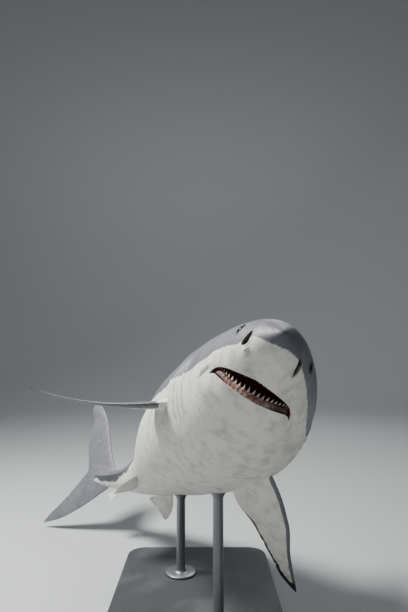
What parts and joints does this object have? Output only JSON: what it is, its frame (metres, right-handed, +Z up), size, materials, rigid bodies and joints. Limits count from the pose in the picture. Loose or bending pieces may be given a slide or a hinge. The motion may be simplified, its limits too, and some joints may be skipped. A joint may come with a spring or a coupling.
{
  "type": "life-size great white shark model",
  "caption": "Life-size great white shark model, mouth a little open, banking and curving as it swims, held up by rods on a flat display base.",
  "frame": {"origin": "middle of the stand base's flat underside, on the floor", "axes": "+Z up; the head points towards -Y and the tail trails towards +Y and -X; +X is the shark's left-hand side at the head"},
  "size_m": [2.1862, 3.5856, 1.9151],
  "materials": {
    "skin": "satin shark skin, grey above and white below",
    "eye": "wet black gloss",
    "teeth": "ivory enamel",
    "mouth_lining": "moist pink to dark red",
    "stand_paint": "satin dark grey paint",
    "stand_steel": "brushed"
  },
  "bodies": {
    "root": {"head": "skin", "lower_jaw": "skin", "gill_region": "skin", "trunk_front": "skin", "trunk_middle": "skin", "trunk_rear": "skin", "tail_stalk": "skin", "caudal_fin_upper": "skin", "caudal_fin_lower": "skin", "first_dorsal_fin": "skin", "second_dorsal_fin": "skin", "anal_fin": "skin", "pectoral_fin_left": "skin", "pectoral_fin_right": "skin", "pelvic_fin_left": "skin", "pelvic_fin_right": "skin", "eye_left": "eye", "eye_right": "eye", "stand_base": "stand_paint", "stand_rod_front": "stand_steel", "stand_rod_rear": "stand_steel"}
  },
  "joints": []
}
